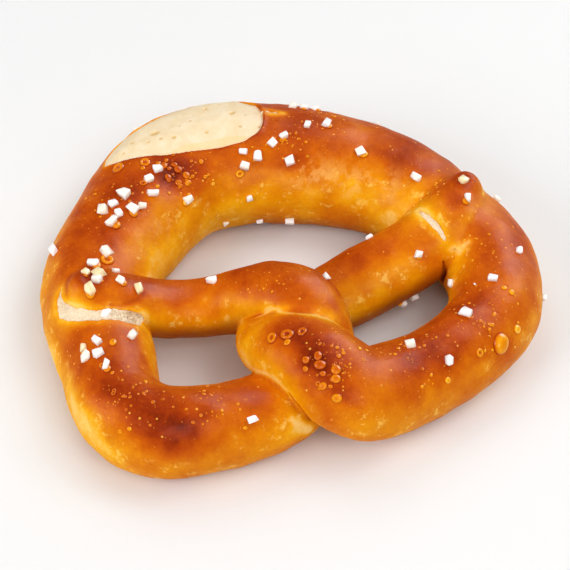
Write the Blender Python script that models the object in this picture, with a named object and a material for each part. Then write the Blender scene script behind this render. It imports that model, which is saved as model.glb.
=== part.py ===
"""Soft pretzel: one rope of baked dough, twisted round itself into one closed solid.

The rope starts at the tip of the left arm, crosses over the right strand, passes under it, runs
clockwise round the thick belly at the back, comes over the left strand at the front and ends at
the tip of the right arm. Both arms lie on the ring and are baked fast to it.

Units: metres. +Z is up, +Y is the back with the belly, +X runs along the two arm ends. The
origin is the middle of the footprint, on the surface that the pretzel rests on.
"""
import math

import bmesh
import bpy
import numpy as np

MM = 0.001

# The rope's route by hand: one row for each place, (x, y, z of its middle, width, height) in mm.
ROUTE = {
    "left tip": (-59, 8.5, 25.5, 12, 11),
    "left end": (-51, 4.5, 23, 18, 16),
    "left arm": (-38, 3, 15, 17.5, 17),
    "left arm's low middle": (-21, -1, 14, 18, 18),
    "left arch": (-9, -8.5, 21.5, 21, 20),
    "left arch's crest": (-1.5, -15.5, 25, 22, 20),
    "left turn": (1, -24, 18, 22, 20),
    "left pass below": (-6, -32, 10, 26, 19),
    "left way out": (-19, -40.5, 10, 25, 22),
    "front left": (-39, -41.8, 12, 23.5, 28),
    "front left corner": (-53.8, -37.9, 12.5, 25, 29),
    "left side's foot": (-61, -27, 12.5, 27, 29),
    "left side": (-59.2, -13, 13, 28, 30),
    "left shoulder": (-55.5, 16, 13, 32, 31),
    "belly's left end": (-35.5, 40.3, 14, 38.2, 33),
    "belly's middle": (-14.5, 54.5, 15, 43, 35),
    "belly's right end": (10, 52, 15, 41.5, 35),
    "right shoulder": (46.5, 29, 13, 35, 32),
    "right side's upper half": (55.8, 6.8, 13.3, 31.2, 31),
    "right side": (61.6, -13, 13, 29.5, 30),
    "front right corner": (53, -34, 12.5, 27, 29),
    "front right": (32, -44.5, 12.5, 24.5, 28),
    "right climb": (15.5, -47.5, 13, 26, 28),
    "right way up": (3, -50, 18, 27.5, 25),
    "right turn": (-7.3, -33, 22, 26, 23),
    "right way down": (-12, -20, 15, 23, 20),
    "right pass below": (1, -9, 9, 21, 18),
    "right arm": (19, -6.2, 10.5, 23, 19.5),
    "right arm's upper half": (43, -3.5, 17.5, 22.5, 20.5),
    "right end": (53, -1, 23, 21, 19),
    "right tip": (60, 5, 27, 13, 13),
}
FOOTPRINT_MIDDLE = (0.86, 6.8)    # mm, taken off every x and y of the route

EASE = 5                           # mm either way over which the route's bends are eased
SIDES = 24                         # points round the rope
RING_GAP = 7.0                     # mm between two sections on a straight stretch
RING_TURN = math.radians(15)       # most that the rope turns between two sections
BEND_ROOM = 0.75                   # dough stops at this share of the way to a bend's centre
DOME_STEPS = 4                     # sections in the rounded end of an arm
BLOCK = (300, 300, 40)             # mm, the block below the floor that cuts the flat underside

# The score: a leaf cut into the belly's top, pointed on the left and blunt on the right. Each row
# is how far along the rope from the belly's left end, in mm, and the angles round the rope of the
# score's outer and its inner edge, in degrees.
SCORE_EDGES = (
    (7, 49, 51), (8.5, 44, 61), (11, 41, 74), (14.5, 39, 88), (20, 37, 102), (28, 35.5, 110.5),
    (36, 36, 114), (44, 40, 112), (49, 50, 106), (51.5, 63, 98), (52.5, 76, 88),
)
SCORE_DEPTH = 0.13                 # as a share of the rope's radius
SCORE_BULGE = 0.09                 # how far the crumb swells back up in the middle

# The tears where an arm's end was pulled off the ring in the oven: (mm along the rope, degrees).
LEFT_TEAR = ((24, 46), (11, 150))  # from the left side's place, over the ring
LEFT_TEAR_WIDTH = 4.5              # mm
RIGHT_TEAR = ((7, 58), (6, 160))   # from the place of the right arm's upper half, over the arm
RIGHT_TEAR_WIDTH = 2
TEAR_DEPTH = 0.16
LEAF_TIP = 0.02                    # keeps the ends of a cut from closing to nothing
CUTTER_RISE = 0.3                  # how far a cutter stands out of the rope, as a share

# The hollows pinched into the two arms' ends: (x, y, z) and radius in mm.
HOLLOWS = (((-54, 9, 35), 5.0), ((60.5, 4, 38), 5.5))

CRUST = (0.42, 0.13, 0.03)


def places():
    """Every place on the route as rows of metres, moved so that the footprint's middle is at 0, 0."""
    rows = np.array(list(ROUTE.values()), dtype=float)
    rows[:, :2] -= FOOTPRINT_MIDDLE
    return rows * MM


def curve_through(rows, steps=24):
    """A centripetal Catmull-Rom curve through the rows, as a dense list of rows."""
    ends = np.vstack([2 * rows[0] - rows[1], rows, 2 * rows[-1] - rows[-2]])
    curve = []
    for a, b, c, d in zip(ends, ends[1:], ends[2:], ends[3:]):
        knots = [0.0]
        for start, stop in ((a, b), (b, c), (c, d)):
            knots.append(knots[-1] + math.sqrt(np.linalg.norm(stop[:3] - start[:3])))
        k0, k1, k2, k3 = knots
        for step in range(steps):
            k = k1 + (k2 - k1) * step / steps
            ab = (a * (k1 - k) + b * (k - k0)) / (k1 - k0)
            bc = (b * (k2 - k) + c * (k - k1)) / (k2 - k1)
            cd = (c * (k3 - k) + d * (k - k2)) / (k3 - k2)
            abc = (ab * (k2 - k) + bc * (k - k0)) / (k2 - k0)
            bcd = (bc * (k3 - k) + cd * (k - k1)) / (k3 - k1)
            curve.append((abc * (k2 - k) + bcd * (k - k1)) / (k2 - k1))
    curve.append(rows[-1])
    return np.array(curve)


def eased(curve):
    """The curve read at every millimetre and averaged over EASE either way, twice."""
    steps = np.linalg.norm(np.diff(curve[:, :3], axis=0), axis=1)
    run = np.concatenate([[0.0], np.cumsum(steps)])
    reads = np.arange(0, run[-1], MM)
    even = np.stack([np.interp(reads, run, column) for column in curve.T], axis=1)
    kernel = np.ones(2 * EASE + 1) / (2 * EASE + 1)
    for _ in range(2):
        before = 2 * even[0] - even[EASE:0:-1]
        after = 2 * even[-1] - even[-2:-EASE - 2:-1]
        longer = np.vstack([before, even, after])
        even = np.stack([np.convolve(column, kernel, "valid") for column in longer.T], axis=1)
    return even


def unit(vectors):
    return vectors / np.linalg.norm(vectors, axis=-1, keepdims=True)


def frames_along(curve):
    """What a section needs at each point of the curve, as one array for each name.

    side points left of the way the rope runs and stays level, up stands square to it. bend
    points to the inside of the rope's bend, and is as long as one over the bend's radius.
    """
    middle = curve[:, :3]
    steps = np.linalg.norm(np.diff(middle, axis=0), axis=1)
    run = np.concatenate([[0.0], np.cumsum(steps)])
    ahead = unit(np.gradient(middle, run, axis=0))
    side = unit(np.stack([-ahead[:, 1], ahead[:, 0], np.zeros(len(ahead))], axis=1))
    return {
        "run": run,
        "middle": middle,
        "ahead": ahead,
        "side": side,
        "up": np.cross(ahead, side),
        "bend": np.gradient(ahead, run, axis=0),
        "half_width": curve[:, 3] / 2,
        "half_height": curve[:, 4] / 2,
    }


def frame_at(rope, run):
    """The rope's frame at a distance along it, read between the two nearest points."""
    frame = {}
    for name, values in rope.items():
        if values.ndim == 1:
            frame[name] = np.interp(run, rope["run"], values)
        else:
            frame[name] = np.array([np.interp(run, rope["run"], column) for column in values.T])
    return frame


def on_rope(frame, angle, scale=1.0):
    """A point of the section: angle 0 is its left side, a quarter turn is its top."""
    across = frame["half_width"] * math.cos(angle) * frame["side"]
    upward = frame["half_height"] * math.sin(angle) * frame["up"]
    offset = across + upward
    to_bend_centre = offset @ frame["bend"]
    if to_bend_centre > BEND_ROOM:
        offset *= BEND_ROOM / to_bend_centre
    return frame["middle"] + scale * offset


def section(frame, scale=1.0, forward=0.0):
    angles = [2 * math.pi * k / SIDES for k in range(SIDES)]
    shift = forward * frame["ahead"]
    return [on_rope(frame, angle, scale) + shift for angle in angles]


def section_runs(rope):
    """Where the sections stand: RING_GAP apart, and closer where the rope turns."""
    run = rope["run"]
    turn = np.linalg.norm(np.diff(rope["ahead"], axis=0), axis=1)
    effort = np.concatenate([[0.0], np.cumsum(np.diff(run) / (RING_GAP * MM) + turn / RING_TURN)])
    count = math.ceil(effort[-1])
    return np.interp(np.linspace(0, effort[-1], count + 1), effort, run)


def rounded_end(frame, sign):
    """The sections of a dome on an end of the rope, from its foot outwards, and its pole."""
    reach = min(frame["half_width"], frame["half_height"])
    rings = []
    for step in range(1, DOME_STEPS):
        angle = math.pi / 2 * step / DOME_STEPS
        rings.append(section(frame, math.cos(angle), sign * reach * math.sin(angle)))
    return rings, frame["middle"] + sign * reach * frame["ahead"]


def rope_mesh(rope):
    """The rope as one closed tube with domed ends, which still passes through itself."""
    frames = [frame_at(rope, run) for run in section_runs(rope)]
    first_dome, first_pole = rounded_end(frames[0], -1)
    last_dome, last_pole = rounded_end(frames[-1], 1)
    rings = first_dome[::-1] + [section(frame) for frame in frames] + last_dome
    points = [point for ring in rings for point in ring] + [first_pole, last_pole]
    first, last = len(points) - 2, len(points) - 1
    faces = []
    for k in range(SIDES):
        after = (k + 1) % SIDES
        end = (len(rings) - 1) * SIDES
        faces.append((first, k, after))
        faces.append((last, end + after, end + k))
        for start in range(0, end, SIDES):
            faces.append((start + k, start + SIDES + k, start + SIDES + after, start + after))
    return points, faces


def trough(rope, edges, depth, bulge=0.0, along=14, across=6):
    """A closed cutter that follows the rope's surface.

    edges(t) gives its two sides at t from 0 to 1, each as (run, angle). It reaches from well
    above the surface down to a share depth of the rope's radius, less a bulge along its middle.
    """
    floor, roof = [], []
    for i in range(along + 1):
        (run_a, angle_a), (run_b, angle_b) = edges(i / along)
        for j in range(across + 1):
            share = j / across
            frame = frame_at(rope, run_a + (run_b - run_a) * share)
            angle = angle_a + (angle_b - angle_a) * share
            middle = math.sin(math.pi * share) * math.sin(math.pi * i / along)
            floor.append(on_rope(frame, angle, 1 - depth + bulge * middle))
            roof.append(on_rope(frame, angle, 1 + CUTTER_RISE))
    top = len(floor)
    row = across + 1
    faces = []
    for i in range(along):
        for j in range(across):
            a = i * row + j
            faces.append((a, a + row, a + row + 1, a + 1))
            faces.append((top + a, top + a + 1, top + a + row + 1, top + a + row))
    rim = [i * row for i in range(along)]
    rim += [along * row + j for j in range(across)]
    rim += [i * row + across for i in range(along, 0, -1)]
    rim += [j for j in range(across, 0, -1)]
    for a, b in zip(rim, rim[1:] + rim[:1]):
        faces.append((a, top + a, top + b, b))
    return floor + roof, faces


def make_object(name, points, faces):
    """A mesh object in triangles, which keeps the Booleans from meeting bent four-sided faces."""
    mesh = bpy.data.meshes.new(name)
    mesh.from_pydata([tuple(point) for point in points], [], faces)
    shape = bmesh.new()
    shape.from_mesh(mesh)
    bmesh.ops.triangulate(shape, faces=shape.faces)
    bmesh.ops.recalc_face_normals(shape, faces=shape.faces)
    shape.to_mesh(mesh)
    shape.free()
    item = bpy.data.objects.new(name, mesh)
    bpy.context.scene.collection.objects.link(item)
    return item


def score_edges(start):
    """The two sides of the score, at t along it."""
    runs, outer, inner = zip(*SCORE_EDGES)

    def edges(t):
        run = runs[0] + (runs[-1] - runs[0]) * t
        angles = [math.radians(np.interp(run, runs, side)) for side in (outer, inner)]
        return [(start + run * MM, angle) for angle in angles]
    return edges


def tear_edges(start, ends, width):
    """The two sides of a straight tear across the rope, at t along it."""
    (first_run, first_angle), (last_run, last_angle) = ends

    def edges(t):
        run = start + (first_run + (last_run - first_run) * t) * MM
        angle = math.radians(first_angle + (last_angle - first_angle) * t)
        half = width / 2 * MM * math.sqrt(max(4 * t * (1 - t), LEAF_TIP))
        return (run + half, angle), (run - half, angle)
    return edges


def place_run(rope, name):
    """How far along the rope a named place lies."""
    middle = places()[list(ROUTE).index(name), :3]
    return rope["run"][np.linalg.norm(rope["middle"] - middle, axis=1).argmin()]


def hide(cutter):
    cutter.hide_render = True
    cutter.display_type = "WIRE"
    return cutter


def floor_block():
    width, depth, height = (side * MM for side in BLOCK)
    bpy.ops.mesh.primitive_cube_add(size=1, location=(0, 0, -height / 2))
    block = bpy.context.object
    block.name = "below_the_floor"
    block.scale = (width, depth, height)
    return hide(block)


def hollow(name, place, radius):
    x, y, z = place
    bpy.ops.mesh.primitive_ico_sphere_add(
        subdivisions=2,
        radius=radius * MM,
        location=((x - FOOTPRINT_MIDDLE[0]) * MM, (y - FOOTPRINT_MIDDLE[1]) * MM, z * MM),
    )
    ball = bpy.context.object
    ball.name = name
    return hide(ball)


def cut(item, cutter, crosses_itself=False):
    boolean = item.modifiers.new(cutter.name, "BOOLEAN")
    boolean.operation = "DIFFERENCE"
    boolean.solver = "EXACT"
    boolean.use_self = crosses_itself
    boolean.object = cutter


def crust_material():
    material = bpy.data.materials.new("crust")
    material.use_nodes = True
    surface = material.node_tree.nodes["Principled BSDF"]
    surface.inputs["Base Color"].default_value = (*CRUST, 1)
    surface.inputs["Roughness"].default_value = 0.38
    surface.inputs["Metallic"].default_value = 0.0
    return material


def clear_scene():
    for item in list(bpy.data.objects):
        bpy.data.objects.remove(item)


def build_pretzel():
    rope = frames_along(eased(curve_through(places())))
    pretzel = make_object("pretzel", *rope_mesh(rope))
    pretzel.data.shade_smooth()
    pretzel.data.materials.append(crust_material())
    cut(pretzel, floor_block(), crosses_itself=True)

    score = score_edges(place_run(rope, "belly's left end"))
    left = tear_edges(place_run(rope, "left side"), LEFT_TEAR, LEFT_TEAR_WIDTH)
    right = tear_edges(place_run(rope, "right arm's upper half"), RIGHT_TEAR, RIGHT_TEAR_WIDTH)
    cutters = (
        ("score", trough(rope, score, SCORE_DEPTH, SCORE_BULGE)),
        ("left_tear", trough(rope, left, TEAR_DEPTH, across=2)),
        ("right_tear", trough(rope, right, TEAR_DEPTH, across=2)),
    )
    for name, (points, faces) in cutters:
        cut(pretzel, hide(make_object(name, points, faces)))
    for side, (place, radius) in zip(("left", "right"), HOLLOWS):
        cut(pretzel, hollow(side + "_hollow", place, radius))


clear_scene()
build_pretzel()
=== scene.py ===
"""Soft pretzel: the looks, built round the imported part.

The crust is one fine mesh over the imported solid's rope, with the score and the tears sunk into it.
The crumb that shows in them, the coarse salt and the crust's blisters are pieces of their own.

Lengths are in millimetres on the rope's own route, until a mesh is made, which is in metres in the
part's frame. Angles round the rope are in degrees: 0 is left of the way it runs, 90 is its top.
"""

import math

import bmesh
import bpy
import numpy as np
import openvdb
from mathutils import Matrix, Vector
from mathutils.bvhtree import BVHTree


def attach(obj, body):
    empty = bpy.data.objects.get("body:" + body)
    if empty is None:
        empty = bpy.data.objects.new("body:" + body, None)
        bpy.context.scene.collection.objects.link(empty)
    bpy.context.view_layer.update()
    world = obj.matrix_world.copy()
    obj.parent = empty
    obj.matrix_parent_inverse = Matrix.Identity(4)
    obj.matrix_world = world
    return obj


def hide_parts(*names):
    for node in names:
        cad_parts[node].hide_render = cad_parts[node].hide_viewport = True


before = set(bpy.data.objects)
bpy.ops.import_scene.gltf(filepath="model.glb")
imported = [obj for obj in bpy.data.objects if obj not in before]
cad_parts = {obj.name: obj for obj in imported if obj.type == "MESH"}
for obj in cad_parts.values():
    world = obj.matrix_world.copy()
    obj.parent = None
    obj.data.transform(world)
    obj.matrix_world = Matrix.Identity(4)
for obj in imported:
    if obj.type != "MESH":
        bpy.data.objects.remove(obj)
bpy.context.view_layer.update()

MM = 0.001

# The rope's route as part.py has it: (x, y, z of its middle, width, height).
ROUTE = {
    "left tip": (-59, 8.5, 25.5, 12, 11),
    "left end": (-51, 4.5, 23, 18, 16),
    "left arm": (-38, 3, 15, 17.5, 17),
    "left arm's low middle": (-21, -1, 14, 18, 18),
    "left arch": (-9, -8.5, 21.5, 21, 20),
    "left arch's crest": (-1.5, -15.5, 25, 22, 20),
    "left turn": (1, -24, 18, 22, 20),
    "left pass below": (-6, -32, 10, 26, 19),
    "left way out": (-19, -40.5, 10, 25, 22),
    "front left": (-39, -41.8, 12, 23.5, 28),
    "front left corner": (-53.8, -37.9, 12.5, 25, 29),
    "left side's foot": (-61, -27, 12.5, 27, 29),
    "left side": (-59.2, -13, 13, 28, 30),
    "left shoulder": (-55.5, 16, 13, 32, 31),
    "belly's left end": (-35.5, 40.3, 14, 38.2, 33),
    "belly's middle": (-14.5, 54.5, 15, 43, 35),
    "belly's right end": (10, 52, 15, 41.5, 35),
    "right shoulder": (46.5, 29, 13, 35, 32),
    "right side's upper half": (55.8, 6.8, 13.3, 31.2, 31),
    "right side": (61.6, -13, 13, 29.5, 30),
    "front right corner": (53, -34, 12.5, 27, 29),
    "front right": (32, -44.5, 12.5, 24.5, 28),
    "right climb": (15.5, -47.5, 13, 26, 28),
    "right way up": (3, -50, 18, 27.5, 25),
    "right turn": (-7.3, -33, 22, 26, 23),
    "right way down": (-12, -20, 15, 23, 20),
    "right pass below": (1, -9, 9, 21, 18),
    "right arm": (19, -6.2, 10.5, 23, 19.5),
    "right arm's upper half": (43, -3.5, 17.5, 22.5, 20.5),
    "right end": (53, -1, 23, 21, 19),
    "right tip": (60, 5, 27, 13, 13),
}
FOOTPRINT_MIDDLE = np.array((0.86, 6.8, 0))
EASE = 5                       # the route's bends are eased over this much either way

# The rope's stretches between these places are grown one by one and then baked together.
STRANDS = ("left tip", "left pass below", "belly's right end", "right pass below", "right tip")
BELLY_FROM = 15                # y behind which the ring's two halves are one rope and don't cross
WELD = 0.8                     # reach of the fillet where strands have baked together
ENDS_WELD = 2.6                # and where the arms' ends are pressed on the ring, outside this x
ENDS_FROM = 50
FLOOR_EDGE = 3.0               # roundness of the edge of the flat underside
VOXEL = 1.0
FAR = 4.0                      # the field is only true this close to the surface
OTHER_STRAND = 30              # dough further than this along the rope belongs to another strand

# The hollows pinched into the two arms' ends: (x, y, z) and radius.
HOLLOWS = (((-56.6, 9.2, 34), 4.8), ((60, 3.8, 35.9), 3.3))

# The score on the belly's top, as in part.py: how far along the rope from the belly's left end, and
# the angles round the rope of its outer and its inner edge.
SCORE_EDGES = (
    (7, 49, 51), (8.5, 44, 61), (11, 41, 74), (14.5, 39, 88), (20, 37, 102), (28, 35.5, 110.5),
    (36, 36, 114), (44, 40, 112), (49, 50, 106), (51.5, 63, 98), (52.5, 76, 88),
)

# The tables of places from here to CROWDS, and from PORES to LUMPS, are in mm on the route. Most of their
# places were picked one by one and then turned into x, y and z by a ray cast onto the dough, so those are
# that cast's numbers: as it gave them in DOMES and CRATERS, mostly rounded elsewhere.

# Other places where the crust has torn: lines of (x, y, z, width).
TEARS = {
    "below the left end": (
        (-65.5, 11.5, 25.5, 1.0), (-67, 9.4, 25, 2.4), (-67.3, 6.5, 24.5, 3.8), (-66.5, 3.2, 25, 4.8),
        (-64.2, 0, 27, 4.6), (-61, -2.3, 28, 4.4), (-56.7, -4, 28, 4.2), (-51.5, -5.4, 26, 4.6),
        (-47, -5.6, 23.5, 4.4),
    ),
    "across the right arm": (
        (43.9, 1.2, 28.5, 1.0), (45.1, -3.6, 29, 1.9), (46.4, -7.8, 28.4, 1.8), (47.2, -10.8, 26.5, 1.0),
    ),
    "beside the score": ((13.4, 57.4, 31.8, 1.0), (16, 56, 31.7, 2.2), (19, 54, 31.5, 1.3)),
}

# Coarse salt, along the rope: (x, y, z near the crust, size). Soaked grains have browned.
SALT = {
    "belly's left end": (
        (-25, 44, 31, 3.4), (-29, 41, 31, 3.7), (-37.5, 38, 30, 4.3), (-29.5, 36, 29, 3.7),
        (-42, 36, 30, 3.3), (-45.5, 35, 30, 4.2), (-41.5, 31.5, 30, 3.3), (-37, 32, 29, 4.0),
        (-34, 32.5, 29, 3.1), (-44.5, 29, 29, 4.2), (-19, 34.5, 25, 3.4),
    ),
    "left shoulder": ((-62.5, 30, 23, 4.4), (-49.5, 19, 28, 4.0), (-54.5, 16, 28.5, 4.0)),
    "left end": (
        (-55.4, 7.5, 29, 3.6), (-49, 11, 28, 2.8), (-49.5, 5, 30, 3.2), (-56.5, -3, 27, 3.8),
    ),
    "left arm": ((-22.5, 1, 23, 3.7), (7, -14.5, 29.5, 2.8)),
    "belly's right end": (
        (2.5, 43, 30, 3.2), (6.5, 40.5, 29, 3.8), (1.5, 39, 28, 3.3), (12, 42.5, 31, 3.3),
        (16.5, 44, 31.5, 3.0), (15.5, 36, 28, 3.7), (1, 33.5, 19.5, 2.4), (-7, 34, 10.5, 2.0),
        (4, 32, 8, 2.6), (13, 30, 9, 3.0), (25, 45.5, 31.5, 3.4), (31, 44.5, 31, 3.4),
        (25, 58, 29, 2.8), (28, 56, 28.5, 3.0), (31.5, 55, 27.5, 2.6),
    ),
    "right shoulder": ((37, 31, 29, 3.6), (49, 14.5, 28, 3.4)),
    "right end": ((58, -2, 32, 3.4), (38.5, -11, 24, 3.0), (29, 2, 20, 2.4)),
    "right side": ((66.5, -22, 26, 3.0), (69.5, 2, 22, 2.8), (67, 11, 22, 2.8), (71.5, -33, 14, 2.6)),
    "front right": (
        (46, -21, 18, 2.9), (53.5, -30.5, 27, 3.3), (48.5, -29.5, 25.5, 0.9), (21, -45, 26.5, 3.7),
        (29.5, -52, 24, 3.4), (40.5, -40, 26.5, 3.9),
    ),
    "under the right arm": ((33, -15, 7, 2.8), (37, -14, 8, 2.8)),
    "left side": (
        (-62, -12.5, 28, 3.2), (-66, -16, 26, 3.4), (-63, -17, 27.5, 3.6),
        (-62, -22, 27, 3.5), (-52, -12.5, 25.5, 3.4),
    ),
    "front left": ((-29, -49.5, 21, 3.5),),
    "soaked": (
        (-58.2, 11.3, 30.3, 2.6), (-54.1, 9.7, 30.3, 3.6), (-58.5, 4.6, 30.4, 4.0), (-45, 2, 28, 3.6),
        (-66, -12.6, 26.5, 3.0), (59.3, 4.4, 32, 3.2),
    ),
}
GRAIN_SINK = 0.18              # share of a grain's size that is baked into the crust
GRAIN_MIDDLE = 0.36            # a grain's middle over its foot, as a share of its size
GRAIN_SCALE = 0.41             # half the width of its block, as a share of its size
GRAIN_WEAR = 0.03              # width of its worn edges, as a share of its size
GRAIN_FACET = 14               # faces that differ by less than this many degrees are one
SYRUPY = 0.25                  # share of the grains with a blister at their foot
SYRUP_WIDTH = 0.75             # that blister's width, as a share of the grain's size
HIDDEN_GRAINS = 12             # more grains on the belly's far side, scattered
HIDDEN_FROM = 15               # how far past the belly's left end they start
HIDDEN_ANGLES = (0, 25)        # and between which angles round the rope they lie
HIDDEN_SIZES = (2.4, 4.0)
HIDDEN_TINT = 0.2

# Blisters: (x, y, z near the crust, width), domes first and then those that have burst. All but
# three of these places are as the ray cast gave them.
DOMES = (
    (47.8, -49.4, 20.8, 5.6), (54.6, -46, 20.8, 2.9), (27.8, -55.8, 20.5, 2.2),
    (56.6, -36.7, 26, 2.1), (55.2, -34.8, 26.8, 1.7), (-8.4, -51.3, 28.6, 2.5), (-3.7, -49.2, 31.3, 3.3),
    (-4.6, -51.4, 30.2, 2.9), (-5.8, -55.4, 27, 2.8), (-10.3, -43.1, 31.5, 2.4), (-6.9, -43.6, 32.4, 2.6),
    (-7.3, -46.2, 31.6, 3.2), (-12.9, -35.2, 31.7, 2.0), (-22.6, 44.9, 31.1, 2.4), (-18.9, 42.6, 30.2, 2.8),
    (-22.8, 40.7, 29.9, 2.4), (-17.1, 40.5, 29, 2.6), (-57.9, -14.7, 27.7, 2.4), (-66.5, -13, 26, 1.6),
)
CRATERS = (
    (-35.8, 50.3, 30, 4.0), (-27.7, 47.9, 31.4, 3.4), (-15.8, -30.9, 29.9, 3.2), (-12, -32.7, 32.1, 3.7),
    (-7.9, -34, 33.1, 2.9), (-0.4, 37.9, 26.3, 2.6), (-30.9, 40.3, 30.5, 2.4), (15.4, 42.8, 31.1, 1.9),
    (-50, 16.4, 28, 4.0), (40, -51, 22, 2.6), (-20.3, 38.8, 28.6, 2.2), (-63, -21.4, 27.2, 2.2),
)
# Where small ones crowd: (x, y, z, spread, how many, largest width).
CROWDS = (
    (-18, 42, 30, 9, 60, 1.9), (-3, -46, 31, 9, 60, 1.7), (-60, -33, 26, 8, 36, 1.5),
    (45, -42, 25, 11, 60, 1.4), (15, 42, 31, 9, 26, 1.2), (-44, 36, 30, 10, 30, 1.2),
    (-40, -44, 25, 10, 34, 1.3), (20, -48, 26, 9, 34, 1.3), (55, 5, 27, 12, 26, 1.2),
    (60, -15, 27, 11, 26, 1.1), (-8, -12, 30, 7, 14, 1.1), (30, 48, 30, 10, 26, 1.2),
)
TINIEST = 0.5                  # width of the smallest blisters in a crowd
MOSTLY_TINY = 2.5              # the higher, the fewer of them are near the largest width
BURST = 0.12                   # share of them that have burst
CRUMB_CLEARANCE = 0.3          # how far their edges stay from the torn crumb

VIEW = (-21, 48)               # the camera's azimuth and elevation
VIEW_DISTANCE = 550
VIEW_TARGET = (0, 0, 14)       # on the route
LENS = 115
SENSOR = 36
FLOOR_HALF = 3.0               # m
WORLD_LIGHT = 0.38


def unit(vectors):
    return vectors / np.linalg.norm(vectors, axis=-1, keepdims=True)


def step(low, high, values):
    """0 below low, 1 above high, and a smooth rise between."""
    share = np.clip((values - low) / (high - low), 0, 1)
    return share * share * (3 - 2 * share)


def smooth_min(a, b, reach):
    overlap = np.maximum(reach - np.abs(a - b), 0) / reach
    return np.minimum(a, b) - overlap * overlap * reach / 4


def smooth_max(a, b, reach):
    return -smooth_min(-a, -b, reach)


def cloud(points, size, seed):
    """Smooth random values from -1 to 1, in lumps of about the size given."""
    table = np.random.default_rng(seed).uniform(-1, 1, (32, 32, 32))
    scaled = points / size
    base = np.floor(scaled).astype(int)
    part = scaled - base
    part = part * part * (3 - 2 * part)
    total = np.zeros(len(points))
    for corner in np.ndindex(2, 2, 2):
        weight = np.prod(np.where(corner, part, 1 - part), axis=1)
        total += weight * table[tuple(((base + corner) % 32).T)]
    return total


def curve_through(rows, steps=24):
    """A centripetal Catmull-Rom curve through the rows, as a dense list of rows."""
    ends = np.vstack([2 * rows[0] - rows[1], rows, 2 * rows[-1] - rows[-2]])
    curve = []
    for a, b, c, d in zip(ends, ends[1:], ends[2:], ends[3:]):
        knots = [0.0]
        for start, stop in ((a, b), (b, c), (c, d)):
            knots.append(knots[-1] + math.sqrt(np.linalg.norm(stop[:3] - start[:3])))
        k0, k1, k2, k3 = knots
        k = np.linspace(k1, k2, steps, endpoint=False)[:, None]
        ab = (a * (k1 - k) + b * (k - k0)) / (k1 - k0)
        bc = (b * (k2 - k) + c * (k - k1)) / (k2 - k1)
        cd = (c * (k3 - k) + d * (k - k2)) / (k3 - k2)
        abc = (ab * (k2 - k) + bc * (k - k0)) / (k2 - k0)
        bcd = (bc * (k3 - k) + cd * (k - k1)) / (k3 - k1)
        curve.append((abc * (k2 - k) + bcd * (k - k1)) / (k2 - k1))
    curve.append(rows[-1:])
    return np.vstack(curve)


def read_evenly(curve, gap):
    """The curve's rows at even distances along it."""
    steps = np.linalg.norm(np.diff(curve[:, :3], axis=0), axis=1)
    run = np.concatenate([[0.0], np.cumsum(steps)])
    reads = np.arange(0, run[-1], gap)
    return np.stack([np.interp(reads, run, column) for column in curve.T], axis=1)


def eased(curve):
    """The curve read at every millimetre and averaged over EASE either way, twice."""
    even = read_evenly(curve, 1.0)
    kernel = np.ones(2 * EASE + 1) / (2 * EASE + 1)
    for _ in range(2):
        before = 2 * even[0] - even[EASE:0:-1]
        after = 2 * even[-1] - even[-2:-EASE - 2:-1]
        longer = np.vstack([before, even, after])
        even = np.stack([np.convolve(column, kernel, "valid") for column in longer.T], axis=1)
    return even


class Rope:
    """The rope at every millimetre: its middle, its frame and its half width and height."""

    def __init__(self):
        rows = np.array(list(ROUTE.values()), dtype=float)
        curve = eased(curve_through(rows))
        self.middle = curve[:, :3]
        self.ahead = unit(np.gradient(self.middle, axis=0))
        level = np.zeros(len(curve))
        self.side = unit(np.stack([-self.ahead[:, 1], self.ahead[:, 0], level], axis=1))
        self.up = np.cross(self.ahead, self.side)
        self.half_width = curve[:, 3] / 2
        self.half_height = curve[:, 4] / 2
        self.places = {}
        for name, row in zip(ROUTE, rows):
            self.places[name] = int(np.linalg.norm(self.middle - row[:3], axis=1).argmin())
        cuts = [self.places[name] for name in STRANDS]
        cuts[-1] += 1
        self.strands = [range(start, stop) for start, stop in zip(cuts, cuts[1:])]

    def offsets(self, i, x, y, z):
        """Points seen from place i, along the rope's side, up and ahead."""
        dx, dy, dz = (x - self.middle[i, 0], y - self.middle[i, 1], z - self.middle[i, 2])
        axes = (self.side[i], self.up[i], self.ahead[i])
        return [dx * axis[0] + dy * axis[1] + dz * axis[2] for axis in axes]

    def distance(self, i, x, y, z):
        """How far points lie outside the ellipsoid that stands for the rope at place i."""
        radii = (self.half_width[i], self.half_height[i], min(self.half_width[i], self.half_height[i]))
        shares = [offset / radius for offset, radius in zip(self.offsets(i, x, y, z), radii)]
        near = np.sqrt(sum(share ** 2 for share in shares))
        steep = np.sqrt(sum((share / radius) ** 2 for share, radius in zip(shares, radii)))
        return near * (near - 1) / (steep + 1e-9)

    def point(self, run, angle):
        """Points of the rope's surface, at distances along it and angles round it."""
        places = np.arange(len(self.middle))
        read = {}
        for name in ("middle", "side", "up"):
            columns = getattr(self, name).T
            read[name] = np.stack([np.interp(run, places, column) for column in columns], axis=1)
        wide = np.interp(run, places, self.half_width) * np.cos(np.radians(angle))
        high = np.interp(run, places, self.half_height) * np.sin(np.radians(angle))
        return read["middle"] + wide[:, None] * read["side"] + high[:, None] * read["up"]


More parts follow.
